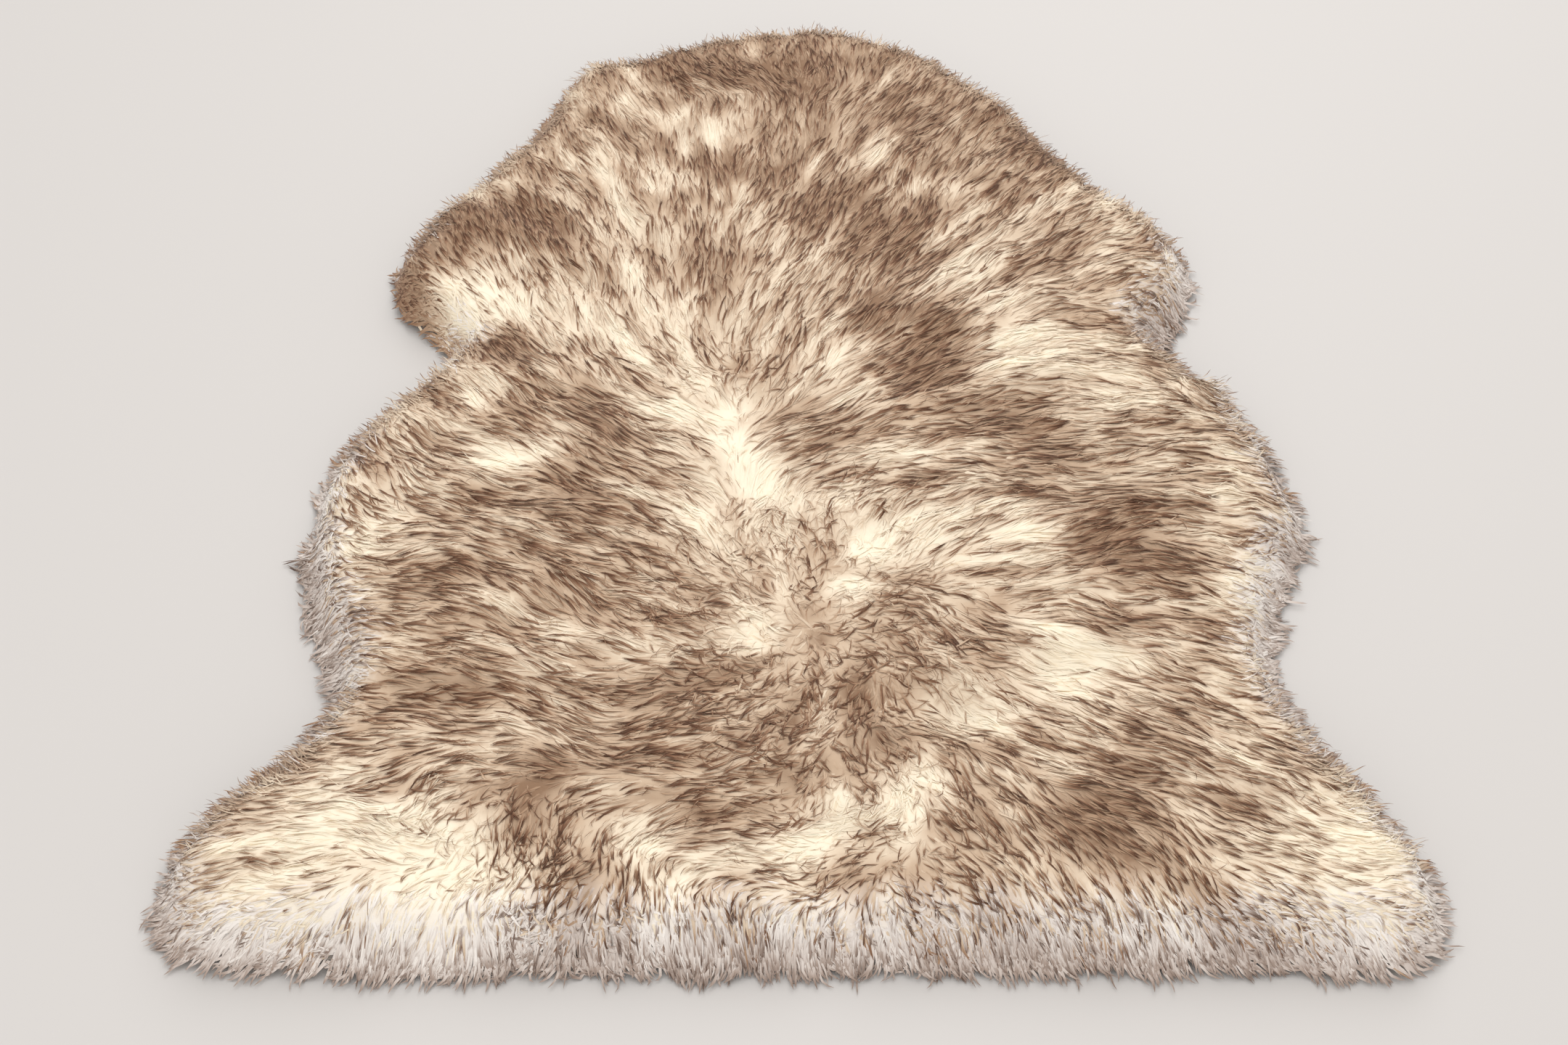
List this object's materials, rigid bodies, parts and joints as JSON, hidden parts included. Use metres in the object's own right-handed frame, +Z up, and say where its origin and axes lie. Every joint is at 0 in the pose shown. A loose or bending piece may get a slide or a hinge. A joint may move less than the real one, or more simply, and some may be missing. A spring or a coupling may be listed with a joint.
{
  "type": "sheepskin rug",
  "caption": "Whole sheepskin rug lying flat, long brushed cream wool with brown tips, with neck, foreleg lobes, belly bulges and wide hind-leg lobes",
  "frame": {"origin": "on the floor, under the middle of the rug's bounding box", "axes": "+Z up out of the wool, +Y along the back towards the neck, +X across to the right-hand legs as seen in the picture"},
  "size_m": [0.8356, 1.0378, 0.0579],
  "materials": {
    "fleece": "long brushed wool, cream with tan and brown tips, soft sheen",
    "hide": "matt suede flesh side of the tanned skin"
  },
  "bodies": {
    "root": {"sheepskin": "fleece"}
  },
  "joints": []
}
